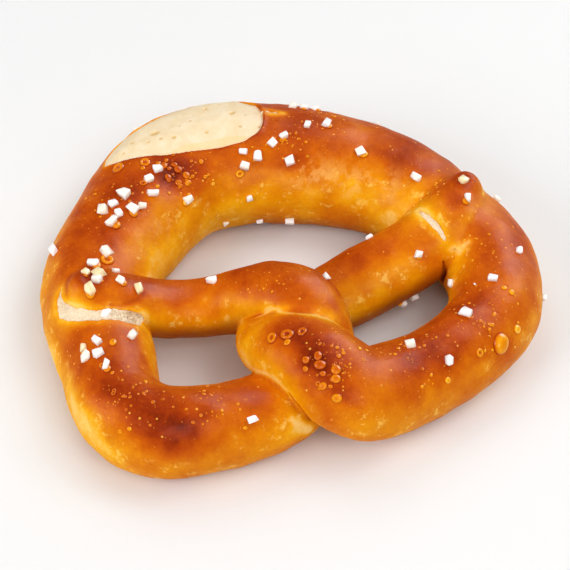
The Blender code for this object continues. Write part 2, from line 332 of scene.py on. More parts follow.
def dough(parts, x, y, z):
    """The signed distance from the whole loaf, out of those from its strands."""
    left_arm, left_ring, right_ring, right_arm = parts
    crossing = smooth_min(left_ring, right_ring, WELD)
    whole = np.where(y > BELLY_FROM, np.minimum(left_ring, right_ring), crossing)
    pressed = np.where(np.abs(x) > ENDS_FROM, ENDS_WELD, WELD)
    for arm in (left_arm, right_arm):
        whole = smooth_min(whole, arm, pressed)
    for (cx, cy, cz), radius in HOLLOWS:
        ball = np.sqrt((x - cx) ** 2 + (y - cy) ** 2 + (z - cz) ** 2)
        whole = smooth_max(whole, radius - ball, WELD)
    return smooth_max(whole, -z, FLOOR_EDGE)


def grown_skin(rope):
    """The loaf's surface as points and faces, from the field on a grid of voxels."""
    reach = np.maximum(rope.half_width, rope.half_height)[:, None] + FAR
    low = (rope.middle - reach).min(axis=0)
    high = (rope.middle + reach).max(axis=0)
    low[2] = -FAR
    axes = [np.arange(a, b, VOXEL, dtype=np.float32) for a, b in zip(low, high)]
    parts = []
    for strand in rope.strands:
        field = np.full([len(axis) for axis in axes], FAR, dtype=np.float32)
        for i in strand:
            spans = [np.searchsorted(axis, (m - reach[i, 0], m + reach[i, 0]))
                     for axis, m in zip(axes, rope.middle[i])]
            window = tuple(slice(*span) for span in spans)
            x, y, z = np.ix_(*(axis[part] for axis, part in zip(axes, window)))
            field[window] = np.minimum(field[window], rope.distance(i, x, y, z))
        parts.append(field)
    x, y, z = np.ix_(*axes)
    grid = openvdb.FloatGrid(FAR)
    grid.copyFromArray(dough(parts, x, y, z).astype(np.float32))
    points, triangles, quads = grid.convertToPolygons(isovalue=0.0, adaptivity=0.0)
    faces = [face.tolist() for face in (*triangles, *quads)]
    return points * VOXEL + low, faces


def keep_largest(shape):
    """Deletes the small closed bubbles that the field leaves where strands meet."""
    left = set(shape.verts)
    islands = []
    while left:
        island = {left.pop()}
        front = list(island)
        while front:
            for edge in front.pop().link_edges:
                for vert in edge.verts:
                    if vert in left:
                        left.remove(vert)
                        island.add(vert)
                        front.append(vert)
        islands.append(island)
    islands.sort(key=len)
    spare = [vert for island in islands[:-1] for vert in island]
    bmesh.ops.delete(shape, geom=spare, context="VERTS")


def points_of(shape):
    return np.array([vert.co for vert in shape.verts], dtype=float)


def normals_of(shape):
    shape.normal_update()
    return np.array([vert.normal for vert in shape.verts], dtype=float)


def move_points(shape, points):
    for vert, point in zip(shape.verts, points):
        vert.co = point


def refine(shape, wanted):
    """Halves the edges that have both ends wanted."""
    shape.verts.index_update()
    edges = [edge for edge in shape.edges if all(wanted[vert.index] for vert in edge.verts)]
    bmesh.ops.subdivide_edges(shape, edges=edges, cuts=1, use_grid_fill=True)
    many_sided = [face for face in shape.faces if len(face.verts) > 4]
    bmesh.ops.triangulate(shape, faces=many_sided)


class Survey:
    """Where each vertex of the loaf lies on the rope, and how far from the score and the tears."""

    def __init__(self, rope, shape, score, tears):
        self.points = points_of(shape)
        x, y, z = self.points.T
        best = np.full(len(x), np.inf)
        place = np.zeros(len(x), dtype=int)
        parts = []
        for strand in rope.strands:
            part = np.full(len(x), FAR * 2)
            for i in strand:
                distance = rope.distance(i, x, y, z)
                part = np.minimum(part, distance)
                closer = distance < best
                best[closer] = distance[closer]
                place[closer] = i
            parts.append(part)
        self.outside = dough(parts, x, y, z)
        self.place = place
        self.arm = np.isin(place, [*rope.strands[0], *rope.strands[-1]])
        self.gap = np.full(len(x), FAR * 3)
        for i in range(0, len(rope.middle), 2):
            apart = np.abs(place - i) > OTHER_STRAND
            distance = rope.distance(i, x[apart], y[apart], z[apart])
            self.gap[apart] = np.minimum(self.gap[apart], distance)
        side, up, ahead = self.seen_from_rope(rope)
        self.run = place + ahead
        self.angle = np.degrees(np.arctan2(up / rope.half_height[place], side / rope.half_width[place]))
        self.angle = np.where(self.angle < -90, self.angle + 360, self.angle)
        self.score = score.depth(self)
        self.tears = np.max([tear.depth(self.points) for tear in tears], axis=0)

    def seen_from_rope(self, rope):
        offset = self.points - rope.middle[self.place]
        frames = (rope.side, rope.up, rope.ahead)
        return [(offset * axis[self.place]).sum(axis=1) for axis in frames]


def nearest_of(points, line):
    """For each point, its distance from the dense line and which row of the line is nearest."""
    distance = np.full(len(points), np.inf)
    index = np.zeros(len(points), dtype=int)
    low, high = line.min(axis=0) - FAR * 2, line.max(axis=0) + FAR * 2
    close = np.flatnonzero(((points > low) & (points < high)).all(axis=1))
    for part in np.array_split(close, max(1, len(close) // 2000)):
        gaps = np.linalg.norm(points[part][:, None] - line[None], axis=2)
        index[part] = gaps.argmin(axis=1)
        distance[part] = gaps.min(axis=1)
    return distance, index


class Score:
    """The leaf-shaped cut along the belly's top."""

    def __init__(self, rope):
        self.start = rope.places["belly's left end"]
        self.edges = curve_through(np.array(SCORE_EDGES, dtype=float))
        run, outer, inner = self.edges.T
        blunt = np.linspace(outer[-1], inner[-1], 30)
        sides = [rope.point(self.start + run, angle) for angle in (outer, inner)]
        self.outline = np.vstack([*sides, rope.point(self.start + run[-1] + 0 * blunt, blunt)])

    def sides(self, run):
        return [np.interp(run - self.start, self.edges[:, 0], edge) for edge in self.edges[:, 1:].T]

    def share(self, survey):
        return (survey.run - self.start - self.edges[0, 0]) / np.ptp(self.edges[:, 0])

    def depth(self, survey):
        """How far inside the score's edge a vertex lies, and less than 0 outside it."""
        distance, _ = nearest_of(survey.points, self.outline)
        share = self.share(survey)
        outer, inner = self.sides(survey.run)
        inside = (share > 0) & (share < 1) & (survey.angle > outer) & (survey.angle < inner)
        depth = np.where(inside, distance, -distance)
        return depth + 0.15 * cloud(survey.points, 3.5, 3)


def line_on(tree, rows):
    """A line through the rows, snapped to the crust, with the rows' width at each of its points."""
    curve = read_evenly(curve_through(np.array(rows, dtype=float)), 0.3)
    on_crust = [tree.find_nearest(Vector(row[:3]))[0] for row in curve]
    return np.array(on_crust, dtype=float), curve[:, 3]


class Tear:
    """A ragged tear along a line over the crust."""

    def __init__(self, tree, rows):
        self.line, width = line_on(tree, rows)
        self.half = width / 2

    def depth(self, points):
        distance, index = nearest_of(points, self.line)
        ragged = 0.3 * cloud(points, 1.1, 5) + 0.35 * cloud(points, 3.0, 6)
        return self.half[index] * (1 + 0.5 * ragged) - distance


# How the loaf is refined, twice: how far round the score and the tears, and how near a crease or
# a crack.
REFINING = ((2.5, 1.7), (1.2, 0.4))
SETTLE = 0.5                   # most that a new vertex moves to reach the true surface

CRUMB_SINK = 0.9               # the crust passes this far below the crumb's face
CRUMB_HIDDEN = 0.8             # the crumb reaches this far under the crust
CRUMB_THICK = 1.3
PORE_DEPTH = 0.35
# The crumb's large pores, sunk and painted darker as shade: (x, y, z, width).
PORES = (
    (-20.9, 58.8, 31, 4.2), (-2.6, 64, 31, 2.4), (4.3, 57.9, 32, 3.0), (-16.2, 54.1, 32, 2.2),
    (-20.1, 55.3, 32, 1.8), (2.5, 65, 30, 1.8), (10.9, 50.3, 32, 2.0), (-6, 52.7, 32, 1.7),
    (-28.4, 58.3, 30, 1.8), (-32.1, 55.8, 29, 1.4), (4.6, 51.1, 32, 1.5), (-9, 59.6, 32, 1.6),
    (-12, 64, 31, 1.3), (8, 56, 32, 1.3), (-24, 55.5, 31, 1.4), (-13, 58.5, 31, 1.1),
)

# Where the torn dough shows open cells, painted darker as shade in them: (x, y, z, spread, change).
SPONGY = ((-57, -3.5, 28, 5, 0.3), (-48, -5.5, 25, 6, 0.7))

# Where the crust is thin and flaky, with pale patches: (x, y, z, spread, amount).
FLAKY = (
    (18, 31, 26, 5, 0.6), (25, 28, 24, 5, 0.8), (33, 24, 23, 5, 0.8), (41, 18, 24, 5, 0.8),
    (-27, 26, 24, 5, 0.5), (-33, 18, 22, 5, 0.4),
)

# Where the crust is darker, and where it is paler: (x, y, z, spread, change). They hold the crust's own
# tone and also painted shade, in creases and under the arms, and a few painted highlights. About half of
# the places are from the ray cast. The spreads and the changes were set over several rounds, from maps of
# where the crust still came out too dark or too pale.
DARKER = (
    (-34, 44, 31, 7, 0.16), (-19, 43, 30, 7, 0.20), (-47, 24, 29, 6, 0.12), (-57, 28, 26, 8, 0.10),
    (46, 26, 29, 8, 0.20), (25, 52, 31, 10, 0.10), (-7, -15, 33, 9, 0.16), (-15, -2, 27, 7, 0.14),
    (-7, -43, 32, 9, 0.26), (-7, -57, 24, 5, 0.12), (55, -24, 27, 6, 0.18), (48, -37, 27, 7, 0.14),
    (62, -10, 27, 6, 0.10), (29, -47, 26, 7, 0.14), (17, -50, 27, 5, 0.06), (36, -55, 17, 8, 0.10),
    (-51, -49, 21, 8, 0.18), (-48, -44, 26, 8, 0.16), (-57, -36, 27, 7, 0.16), (-65, -23, 26, 5, 0.12),
    (-69, -10, 23, 5, 0.20), (-30, -43, 27, 6, 0.12), (18, -6, 22, 6, 0.10), (58, 6, 36, 5, 0.12),
    (-58, 10, 31, 6, 0.10), (-48, 3, 30, 6, 0.10), (-61, 11.4, 29.6, 3.5, 0.16), (-8, -36, 33, 5, 0.10),
    (-34, -6, 16, 8, 0.12), (-24, -9, 15, 8, 0.12), (30, -16, 14, 7, 0.13), (39, -15, 16, 7, 0.16),
    (45, -13, 22, 4, 0.20), (47, -14, 16, 5, 0.22), (-68, -24, 25, 6, 0.12), (-63, -30, 26, 6, 0.10),
    (-24, -44, 22, 6, 0.16), (-57, -48, 19, 7, 0.09), (-48, -50, 21, 7, 0.09), (-41, -53, 16, 7, 0.05),
    (30, -57, 14, 8, 0.12), (43, -53, 16, 8, 0.12), (-8, -47, 31, 6, 0.08), (19, -52, 26, 5, 0.08),
    (-22, 41, 30, 5, 0.10), (-18, 44, 31, 5, 0.06), (-3, 41, 28, 7, 0.06), (13, 33, 25, 7, 0.09),
    (19, 27, 16, 8, 0.12), (28, 21, 16, 8, 0.10), (46, 24, 29, 6, 0.07), (53, -49, 17, 6, 0.07),
    (-58, -35, 27, 6, 0.08), (-33, 1, 26, 4, 0.08), (-3, -57, 26, 5, 0.08), (26, -58, 15, 7, 0.08),
    (5, 36, 24, 8, 0.05), (22, -5, 21, 4, 0.08), (-15.9, -29.5, 29.7, 3, 0.12), (6, -24.6, 28.5, 3, 0.14),
    (-28.5, 0, 22.3, 3, 0.12), (-41, 2.6, 26.5, 3, 0.10), (-65, -29, 26, 4, 0.08), (-60, -38, 26, 7, 0.06),
    (-26, -43, 23, 5, 0.08), (-39, -43, 26, 4, 0.06), (42, -15, 12, 6, 0.16), (31, -16.4, 11, 6, 0.14),
    (21, -17, 11, 6, 0.12), (54, -2, 32, 3, 0.10), (9, 32, 9, 6, 0.14), (22, 28, 7, 7, 0.16),
    (33, 22, 7, 7, 0.14), (50, -47, 19, 5, 0.08), (10, -58, 21, 6, 0.10), (22, -57, 18, 5, 0.05),
    (-50, -50, 18, 8, 0.06), (-32, -53, 15, 7, 0.05), (-9, -52, 24, 4, 0.12),
    (-18, 36, 24, 6, 0.06), (-9, 34, 22, 6, 0.06), (27.2, -4.7, 22.9, 4, 0.08), (-22, 42, 30, 5, 0.06),
    (-14, 41, 29, 5, 0.05), (17, 46, 31, 5, 0.06), (45, 21, 28, 5, 0.07), (30, 33, 28, 5, 0.08),
    (-41, -43, 26, 5, 0.06), (-22, -46, 21, 4, 0.06), (-12, -45, 31, 4, 0.08), (-8, -40, 32, 4, 0.06),
    (44, -18, 20, 5, 0.04), (-59, -21, 27, 4, 0.08), (14, -13, 15, 4, 0.05),
    (6, -24.6, 28, 3, 0.10), (-16, -30, 29, 3, 0.08), (-14.5, -17, 26, 2.5, 0.10), (-10, -47, 22, 3, 0.06),
    (38, 12, 27, 4, 0.04), (44, -6, 28, 4, 0.05), (-5, -11, 32, 6, 0.04),
    (-13, -31, 30, 5, 0.12), (-10, -34, 32, 3.5, 0.06), (-10, 36, 22, 6, 0.07), (22, 42, 31, 6, 0.08),
    (1, -44, 31, 5, 0.08),
    (45, 20, 28, 5, 0.10), (30, 30, 27, 4, 0.10), (18, 37, 28, 4, 0.08), (-56, -24, 26.5, 3.5, 0.10),
    (-71, -17, 24, 4, 0.08), (-47, 22, 29, 3, 0.08), (-57, 1.5, 29, 3, 0.08), (-34, 35, 30, 4, 0.12),
    (35, 17, 17, 5, 0.08), (28, 23, 16, 5, 0.06), (-8, -56, 19, 4, 0.08),
    (-32, 38.5, 30, 4, 0.12), (-24.5, 39, 29.5, 3.5, 0.12), (-19, 43, 30, 3, 0.08), (-37, 43, 30, 4, 0.08),
    (-46, 37, 29, 5, 0.06), (-46, 24, 29, 4, 0.10), (-59.5, 3.5, 29.5, 2.5, 0.12), (17, 31, 23.5, 4, 0.10),
    (32, 27, 26, 3, 0.12), (51, 18, 28, 4, 0.08), (56, -2, 32, 3, 0.10), (-17, -12.5, 26, 4, 0.08),
    (-13.5, -51, 19.5, 3, 0.10), (43, -46, 25, 4, 0.10), (29, -7, 23, 3.5, 0.10),
    (21, -8, 21, 3.5, 0.10), (-12, 34, 20.5, 4, 0.08), (-60, -31, 27, 5, 0.05),
)
PALER = (
    (26, 27, 24, 13, 0.16), (41, 17, 26, 12, 0.18), (45, 4, 28, 6, 0.12), (1, 33, 19, 9, 0.10),
    (11, 38, 28, 7, 0.10), (-27, 33, 27, 8, 0.12), (-36, 20, 23, 10, 0.14), (-27, -5, 20, 8, 0.14),
    (-43, -2, 25, 5, 0.08), (-62, 4, 28.5, 5, 0.20), (5, -23, 30, 5, 0.20), (-18, -27, 28, 6, 0.14),
    (-22, -26, 22, 7, 0.16), (-21, -44, 22, 8, 0.20), (-18, -51, 15, 8, 0.14), (-37, -50, 22, 7, 0.10),
    (-70, 0, 23, 9, 0.06), (-73, -24, 20, 8, 0.24), (-71, -36, 16, 9, 0.20), (30, -9, 23, 7, 0.12),
    (16, -12, 18, 8, 0.14), (42, -7, 27, 6, 0.16), (7, -59, 26, 8, 0.10), (64, -6, 24, 5, 0.08),
    (50, -14, 24, 8, 0.16), (50, -3, 31, 4, 0.10), (-67, 14, 24, 5, 0.16), (33, -12, 14, 9, 0.10),
    (-20, -24, 25, 6, 0.06), (-63, 40, 14, 14, 0.08), (-70, 20, 16, 10, 0.10), (22, 30, 10, 9, 0.14),
    (40, 12, 16, 9, 0.08), (-10, 33, 8, 9, 0.10), (-28, 26, 8, 9, 0.16), (-46, -9, 18, 5, 0.14),
    (-40, 21, 26, 8, 0.13), (-38, 17, 22, 7, 0.10), (-62, 12, 29, 4, 0.14), (-53, 4, 30, 5, 0.18),
    (-41, -1, 25, 4, 0.18), (-25, -5, 22, 5, 0.16), (-46, -39, 27, 6, 0.10),
    (-36, -49, 23, 5, 0.05), (-15, -51, 14, 5, 0.22), (62, -7, 28, 7, 0.12), (64, -14, 28, 6, 0.08),
    (65, -29, 25, 6, 0.05), (-17, -36, 29, 5, 0.10), (-17, -42, 26, 4, 0.12), (1, -48, 32, 6, 0.13),
    (4, -55, 29, 5, 0.13), (41, -48, 24, 5, 0.13), (1, -31, 30, 4, 0.20), (39, 16, 23, 5, 0.05),
    (50, 18, 28, 6, 0.09), (-70, 1, 22, 6, 0.08), (-73, -28, 16, 8, 0.05), (-14, -25, 28, 5, 0.04),
    (-63.5, 5, 28, 4, 0.16), (-48, -12, 24, 5, 0.12), (26, 27, 24, 6, 0.12), (38, 20, 26, 6, 0.06),
    (46, 10, 27, 6, 0.10), (33, -13, 21, 5, 0.14), (42, -11, 24, 4, 0.12), (18, -14, 17, 5, 0.10),
    (50, -17, 20, 5, 0.12), (49, -23, 18, 5, 0.10), (50, -47, 21, 5, 0.12), (2, -42, 32, 4, 0.10),
    (-3, -28, 31, 3, 0.12), (31.6, -13.7, 20, 4, 0.08), (-27.6, 30, 25.6, 5, 0.06),
    (-38.7, 16, 21.6, 4, 0.06),
    (-8.7, 33.6, 16, 7, 0.10), (1, 33, 11, 6, 0.10), (-16.5, 30.5, 13, 7, 0.12), (41, -50, 23, 5, 0.05),
    (26, -54, 23, 4, 0.08), (-3, -51, 30.5, 3, 0.08), (14, 49, 32, 2.5, 0.10),
    (-10.6, -23, 29.5, 3, 0.14), (4, -28, 29, 4, 0.12), (-49, 20, 29, 5, 0.04), (31, 20, 22, 7, 0.06),
    (37, -12, 21, 5, 0.10), (24, -12, 20, 5, 0.08), (60, 10, 27, 6, 0.08), (-46, -2, 25, 4, 0.06),
    (-53, -34, 27, 5, 0.05), (-43, -44, 26, 4, 0.10), (-30, -48, 22, 4, 0.08), (47, -2, 30, 4, 0.10),
    (12, -57, 24, 5, 0.10), (22, -57, 19, 5, 0.06), (-75, -10, 12, 8, 0.12), (-75, -25, 9, 8, 0.10),
    (40, -52, 17, 7, 0.06), (44, -47, 22, 4, 0.05), (-45, -54, 12, 8, 0.05), (-25, -53, 12, 6, 0.06),
    (7, -26, 27, 4, 0.04), (-7, -25, 30, 3, 0.06), (-18, -25, 26, 4, 0.08), (68, 8, 22, 8, 0.08),
    (-75, -2, 14, 7, 0.10), (15, -13, 19, 4, 0.10), (47, -15.5, 18, 3, 0.12), (-17, 38, 28, 3, 0.12),
    (5.5, -28.5, 28, 2.5, 0.10), (-13, -39, 30, 4, 0.06), (-20, -47, 24, 3, 0.05), (70, 2, 22, 5, 0.08),
    (-3, -27, 31, 4, 0.12), (3, -29, 30, 4, 0.08), (-75, -8, 13, 4, 0.08), (64, 8, 29, 5, 0.06),
    (-9, -22.6, 29.6, 2, 0.12), (-49, -13, 22.5, 3, 0.10), (-39, 14, 20.5, 3.5, 0.10),
    (-60, 15, 28, 2.5, 0.12), (64, -13, 28, 4, 0.08), (68, -33, 9, 7, 0.12), (58, -45, 9, 7, 0.10),
)
# Pale seams where the dough has stretched, and cracks, sunk into the crust and painted dark as shade: lines
# of (x, y, z, spread).
SEAMS = (
    ((-15.9, -17.9, 25.2, 0.5), (-13.2, -18.7, 27.2, 0.9), (-11, -20.1, 28.7, 1.1),
     (-8.7, -23.4, 29.9, 1.1), (-5.6, -25.6, 30.7, 1.1), (-2.9, -27, 30.6, 1.4), (0, -28, 30, 2.0),
     (4.5, -28.8, 29, 2.6)),
    ((-22.5, -28, 19, 0.5), (-22.2, -31.6, 19.2, 0.9), (-20, -36.5, 22, 0.8), (-18, -41, 23, 0.7),
     (-16.9, -44, 22.4, 0.5)),
    ((16.5, 54.5, 31.8, 1.5), (20, 53.5, 31, 1.0)),
    ((-17, -51, 17, 1.4), (-14.5, -52, 13, 1.6), (-11, -52, 9, 1.4)),
    ((49.5, -13.8, 23.3, 1.4), (51.5, -13.6, 24.4, 1.8), (54.1, -13.6, 26, 1.2)),
    ((59, 9, 30, 0.6), (63.5, 5.5, 28, 0.8), (64.5, 1, 28, 0.6)),
)
CRACKS = (
    ((-16.4, -45.5, 21.4, 0.5), (-14.8, -48.7, 18.8, 0.8), (-13.2, -50.2, 16.2, 0.8),
     (-11, -50.4, 13, 0.7)),
    ((45.8, -14, 20.6, 0.3), (46, -14.5, 16.7, 0.8), (47, -11.8, 8.9, 0.9)),
)
# Folds where the left arm's end is pressed on the ring: soft grooves, painted darker as shade.
FOLDS = (
    ((-64.2, 8, 27.2, 1.0), (-62.8, 12, 27.7, 1.8), (-59.6, 14.4, 28.1, 2.2), (-56.4, 14.8, 28.5, 2.2),
     (-53.8, 13.5, 28.5, 1.8), (-52.4, 10.9, 29, 1.0)),
    ((-54.3, -1.1, 28.1, 0.6), (-51.5, -1.9, 27.5, 0.9), (-47.8, -1.5, 27.3, 1.0), (-45.4, -0.7, 27.2, 0.9),
     (-43.1, 0.7, 26.9, 0.6)),
)
# Lumps, and dents below 0, that stand out from the crust's evener ones: (x, y, z, spread, height).
LUMPS = (
    (29, -6, 23, 6, 0.9), (34, -8, 24, 2.5, -0.7), (38, -7, 27, 4, 0.5), (49, -6, 31, 3, 0.6),
    (56, -8, 30, 4, 0.5), (53, -4, 32, 2.5, -0.4), (-57, -28, 27, 5, 0.7), (-35, -44, 27, 3, -0.6),
    (-30, -45, 26, 2.5, 0.4), (-44, -40, 27, 4, 0.5), (60, -18, 28, 4, 0.5), (66, -12, 26, 3, 0.4),
    (57, -28, 27, 4, 0.4), (-38, 30, 30, 5, 0.6), (-28, 36, 30, 4, 0.5), (-22, 37, 29, 3, -0.5),
    (34, 40, 31, 5, 0.5), (42, 34, 30, 5, -0.5), (16, 34, 27, 5, -0.4), (-10, 40, 30, 5, 0.4),
    (61.5, 6, 34, 4, 1.2), (-61, 9, 31, 4, 0.9), (-20, -1, 24, 5, 0.5), (-2, -14, 34, 5, 0.5),
    (3, -52, 31, 5, 0.5), (40, -41, 28, 4, 0.4),
)


def build_loaf(rope):
    """The fine loaf before its relief: its shape, its score and its tears."""
    points, faces = grown_skin(rope)
    mesh = bpy.data.meshes.new("loaf")
    mesh.from_pydata(points.tolist(), [], faces)
    shape = bmesh.new()
    shape.from_mesh(mesh)
    bpy.data.meshes.remove(mesh)
    keep_largest(shape)
    tree = BVHTree.FromBMesh(shape)
    score = Score(rope)
    tears = [Tear(tree, rows) for rows in TEARS.values()]
    cracks = np.vstack([line_on(tree, rows)[0] for rows in CRACKS])
    survey = Survey(rope, shape, score, tears)
    for edge_band, crease_band in REFINING:
        near_edge = np.maximum(survey.score, survey.tears) > -edge_band
        creased = (survey.gap < crease_band) & (survey.points[:, 2] > 1)
        cracked = nearest_of(survey.points, cracks)[0] < crease_band
        refine(shape, near_edge | creased | cracked)
        survey = Survey(rope, shape, score, tears)
        shift = np.clip(survey.outside, -SETTLE, SETTLE)
        move_points(shape, survey.points - shift[:, None] * normals_of(shape))
    return shape, Survey(rope, shape, score, tears), score


def pores_of(points):
    """How deep in one of the crumb's large pores each point lies, from 0 to 1."""
    total = np.zeros(len(points))
    for x, y, z, width in PORES:
        offset = (points - (x, y, z)) / (width / 2)
        total = np.maximum(total, step(1, 0.3, np.hypot(offset[:, 0], 1.5 * offset[:, 1])))
    return total


def crumb_height(survey, score):
    """How high the torn-open crumb lies over the crust's smooth surface."""
    points = survey.points
    share = score.share(survey)
    swell = -0.25 + 0.85 * step(0, 7, survey.score) - 0.7 * step(0.84, 0.92, share)
    swell += 0.35 * step(75, 55, survey.angle) + 0.30 * np.exp(-((share - 0.83) / 0.025) ** 2)
    swell += 0.30 * cloud(points, 8, 21) + 0.14 * cloud(points, 3, 25) + 0.05 * cloud(points, 1.4, 22)
    swell -= PORE_DEPTH * pores_of(points)
    ragged = -0.30 - 0.8 * step(0, 2.2, survey.tears)
    ragged += 0.30 * cloud(points, 1.3, 23) + 0.18 * cloud(points, 0.7, 24)
    return np.where(survey.score > survey.tears, swell, ragged)


def mounds(points, rows):
    """The sum of soft round mounds, each (x, y, z, spread, height)."""
    total = np.zeros(len(points))
    for x, y, z, spread, height in rows:
        total += height * np.exp(-(np.linalg.norm(points - (x, y, z), axis=1) / spread) ** 2)
    return total


def crust_height(survey, crumb, crack):
    """How high the crust stands over the smooth surface: its unevenness, lips and torn edges."""
    points = survey.points
    off_floor = step(0.3, 2.5, points[:, 2])
    lumps = 0.42 * cloud(points, 12, 11) + 0.30 * cloud(points, 5.5, 12) + 0.08 * cloud(points, 2.4, 13)
    lumps += mounds(points, LUMPS)
    lip = 0.35 * np.exp(-(survey.score / 0.9) ** 2) + 0.25 * np.exp(-(survey.tears / 1.1) ** 2)
    for middle, radius in HOLLOWS:
        apart = np.linalg.norm(points - middle, axis=1)
        lip += 0.5 * np.exp(-((apart - radius) / 1.0) ** 2) * step(-1, 1.5, survey.outside + apart - radius)
    open_share = step(-0.05, 0.45, np.maximum(survey.score, survey.tears))
    crease = 0.55 * np.exp(-np.maximum(survey.gap, 0) / 0.5) + 0.6 * crack
    height = off_floor * lumps + lip - crease
    return height * (1 - open_share) + (crumb - CRUMB_SINK) * open_share


def share_of(points, lines, narrow=1.0):
    """How much of a line covers each point, from 0 to 1."""
    total = np.zeros(len(points))
    for line, spread in lines:
        distance, index = nearest_of(points, line)
        total = np.maximum(total, np.exp(-(distance / (narrow * spread[index])) ** 2))
    return total


def bake_of(survey, normals, seam, crack):
    """How dark the crust is, from 0, pale gold, to 1, deep brown: its bake, with painted shade added in
    creases, cracks, folds and hollows.
    """
    points = survey.points
    upward = normals[:, 2] + 0.22 * cloud(points, 8, 33) + 0.14 * cloud(points, 3.5, 34)
    inner = step(95, 145, survey.angle) * step(-0.95, -0.5, normals[:, 2])
    bake = 0.38 - 0.10 * inner + (0.27 + 0.08 * inner) * step(0.25, 0.8, upward)
    bake -= 0.12 * ~survey.arm * step(40, 5, survey.angle) * step(-50, -25, points[:, 1])
    bake += 0.12 * cloud(points, 13, 31) + 0.09 * cloud(points, 6, 32)
    gap = np.maximum(survey.gap, 0)
    # Painted shade: darker right where strands meet in a crease; paler dough just beside it.
    bake += 0.30 * np.exp(-gap / 0.5) - 0.14 * np.exp(-gap / 3)
    bake -= 0.32 * np.exp(-(np.minimum(survey.tears, 0) / 2.0) ** 2)
    outer_edge = step(70, 50, survey.angle)
    bake += (0.12 - 0.42 * outer_edge) * np.exp(-(survey.score / 0.6) ** 2)
    # Painted shade: darker inside the pinched hollows.
    for middle, radius in HOLLOWS:
        apart = np.linalg.norm(points - middle, axis=1)
        bake += 0.16 * step(2.5, 0, apart - radius)
    # The crust's own tone, with painted shade and a few painted highlights.
    bake += mounds(points, DARKER) - mounds(points, PALER)
    # Painted shade in the cracks and folds; paler dough along the stretched seams.
    bake += 0.7 * crack ** 1.5 - 0.35 * seam
    return np.clip(bake, 0, 1)


def underside_shade_of(survey, normals):
    """How much painted shade, a dark mustard, covers each point: on the arms' undersides and on the belly's
    inner underside, over the holes.
    """
    arm_shade = survey.arm * step(0.5, -0.2, normals[:, 2])
    belly_shade = 0.7 * (survey.angle > 110) * step(-0.05, -0.6, normals[:, 2])
    return np.maximum(arm_shade, belly_shade * step(-10, 8, survey.points[:, 0]))


class Heap:
    """Many small closed shapes, gathered into one piece."""

    def __init__(self):
        self.points = []
        self.faces = []
        self.values = []

    def add(self, points, faces, values):
        first = len(self.points)
        self.points.extend(points)
        self.faces.extend([[first + i for i in face] for face in faces])
        self.values.extend(values)


def make_piece(name, points, faces, material, slot, **values):
    """A piece of the pretzel in the part's frame, with a value for each vertex under each name."""
    mesh = bpy.data.meshes.new(name)
    mesh.from_pydata(((np.array(points) - FOOTPRINT_MIDDLE) * MM).tolist(), [], faces)
    mesh.shade_smooth()
    for key, numbers in values.items():
        layer = mesh.attributes.new(key, "FLOAT", "POINT")
        layer.data.foreach_set("value", np.array(numbers, dtype=np.float32))
    mesh.materials.append(material)
    item = bpy.data.objects.new(name, mesh)
    bpy.context.scene.collection.objects.link(item)
    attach(item, "root")
    return item


def faces_of(shape):
    shape.verts.index_update()
    return [[vert.index for vert in face.verts] for face in shape.faces]


def closed_patch(top, bottom, faces, wanted):
    """The wanted faces as a closed slab between two sets of points. Also gives the points' indices."""
    kept = [face for face in faces if all(wanted[i] for i in face)]
    used = sorted({i for face in kept for i in face})
    number = {old: new for new, old in enumerate(used)}
    upper = [[number[i] for i in face] for face in kept]
    count = len(used)
    lower = [[count + i for i in reversed(face)] for face in upper]
    edges = {(a, b) for face in upper for a, b in zip(face, face[1:] + face[:1])}
    walls = [[b, a, count + a, count + b] for a, b in edges if (b, a) not in edges]
    return np.vstack([top[used], bottom[used]]), upper + lower + walls, used


def axes_on(normal, turn):
    """Two unit vectors along the surface, turned about its normal."""
    lead = Vector((math.cos(turn), math.sin(turn), 0.123))
    first = (lead - normal * lead.dot(normal)).normalized()
    return first, normal.cross(first)


def add_grain(heap, place, normal, size, tint, rng):
    """One salt crystal: an uneven block with its corners and edges worn."""
    scale = GRAIN_SCALE * size * np.array((1.15, rng.uniform(0.7, 1.0), rng.uniform(0.7, 0.9)))
    block = bmesh.new()
    for corner in np.ndindex(2, 2, 2):
        block.verts.new((2.0 * np.array(corner) - 1) * rng.uniform(0.5, 1.1, 3) * scale)
    for _ in range(6):
        ray = rng.normal(size=3)
        block.verts.new(ray / np.linalg.norm(ray) * rng.uniform(0.9, 1.25) * scale)
    hull = bmesh.ops.convex_hull(block, input=block.verts)
    bmesh.ops.delete(block, geom=hull["geom_interior"], context="VERTS")
    facet = math.radians(GRAIN_FACET)
    bmesh.ops.dissolve_limit(block, angle_limit=facet, verts=block.verts, edges=block.edges)
    bmesh.ops.bevel(block, geom=block.edges[:], offset=GRAIN_WEAR * size, segments=1, affect="EDGES",
                    clamp_overlap=True)
    first, second = axes_on(normal, rng.uniform(0, 2 * math.pi))
    tilt = Matrix.Rotation(rng.uniform(-0.4, 0.4), 3, first)
    frame_axes = Matrix((first, second, normal)).transposed()
    middle = place + normal * size * (GRAIN_MIDDLE - GRAIN_SINK)
    points = [middle + tilt @ (frame_axes @ vert.co) for vert in block.verts]
    heap.add(points, faces_of(block), [tint] * len(points))
    block.free()


# A blister's profile, from its foot to its middle: (share of its radius, height, change of tone from the
# crust under it).
DOME = (
    (1.0, -0.35, 0.30), (0.97, 0.04, 0.22), (0.86, 0.30, -0.24), (0.66, 0.47, -0.42),
    (0.38, 0.58, -0.32), (0.14, 0.61, -0.26),
)
CRATER = (
    (1.0, -0.35, 0.30), (0.98, 0.04, 0.20), (0.86, 0.28, -0.22), (0.66, 0.38, -0.32),
    (0.46, 0.32, -0.28), (0.30, 0.06, -0.02), (0.14, -0.06, 0.14),
)


